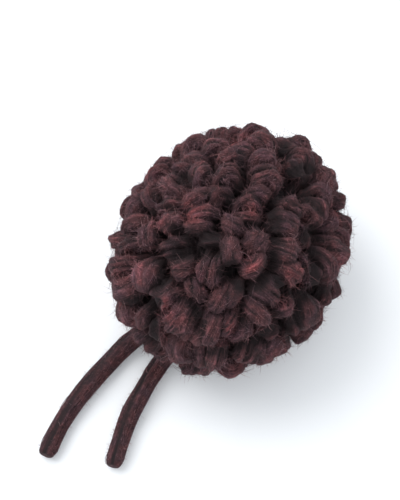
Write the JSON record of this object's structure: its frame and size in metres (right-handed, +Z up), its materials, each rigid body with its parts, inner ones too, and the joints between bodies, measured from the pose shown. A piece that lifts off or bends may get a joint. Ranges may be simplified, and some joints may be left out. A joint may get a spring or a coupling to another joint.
{
  "type": "yarn pom pom",
  "caption": "Soft ball of thick dark wool roving wound into loops that are left uncut, resting on its own flattened underside, with the tie's two free ends lying beside it.",
  "frame": {"origin": "The middle of the ball's box, without the tie's ends, on the surface it lies on", "axes": "+Z is up, the ball's flattened way; +Y is the ball's long way; the tie's ends leave towards -Y"},
  "size_m": [0.0962, 0.1586, 0.0795],
  "materials": {
    "pompom": "fuzzy brushed wool roving",
    "tail_left": "fuzzy brushed wool roving",
    "tail_right": "fuzzy brushed wool roving"
  },
  "bodies": {
    "root": {"pompom": "pompom", "tail_left": "tail_left", "tail_right": "tail_right"}
  },
  "joints": []
}
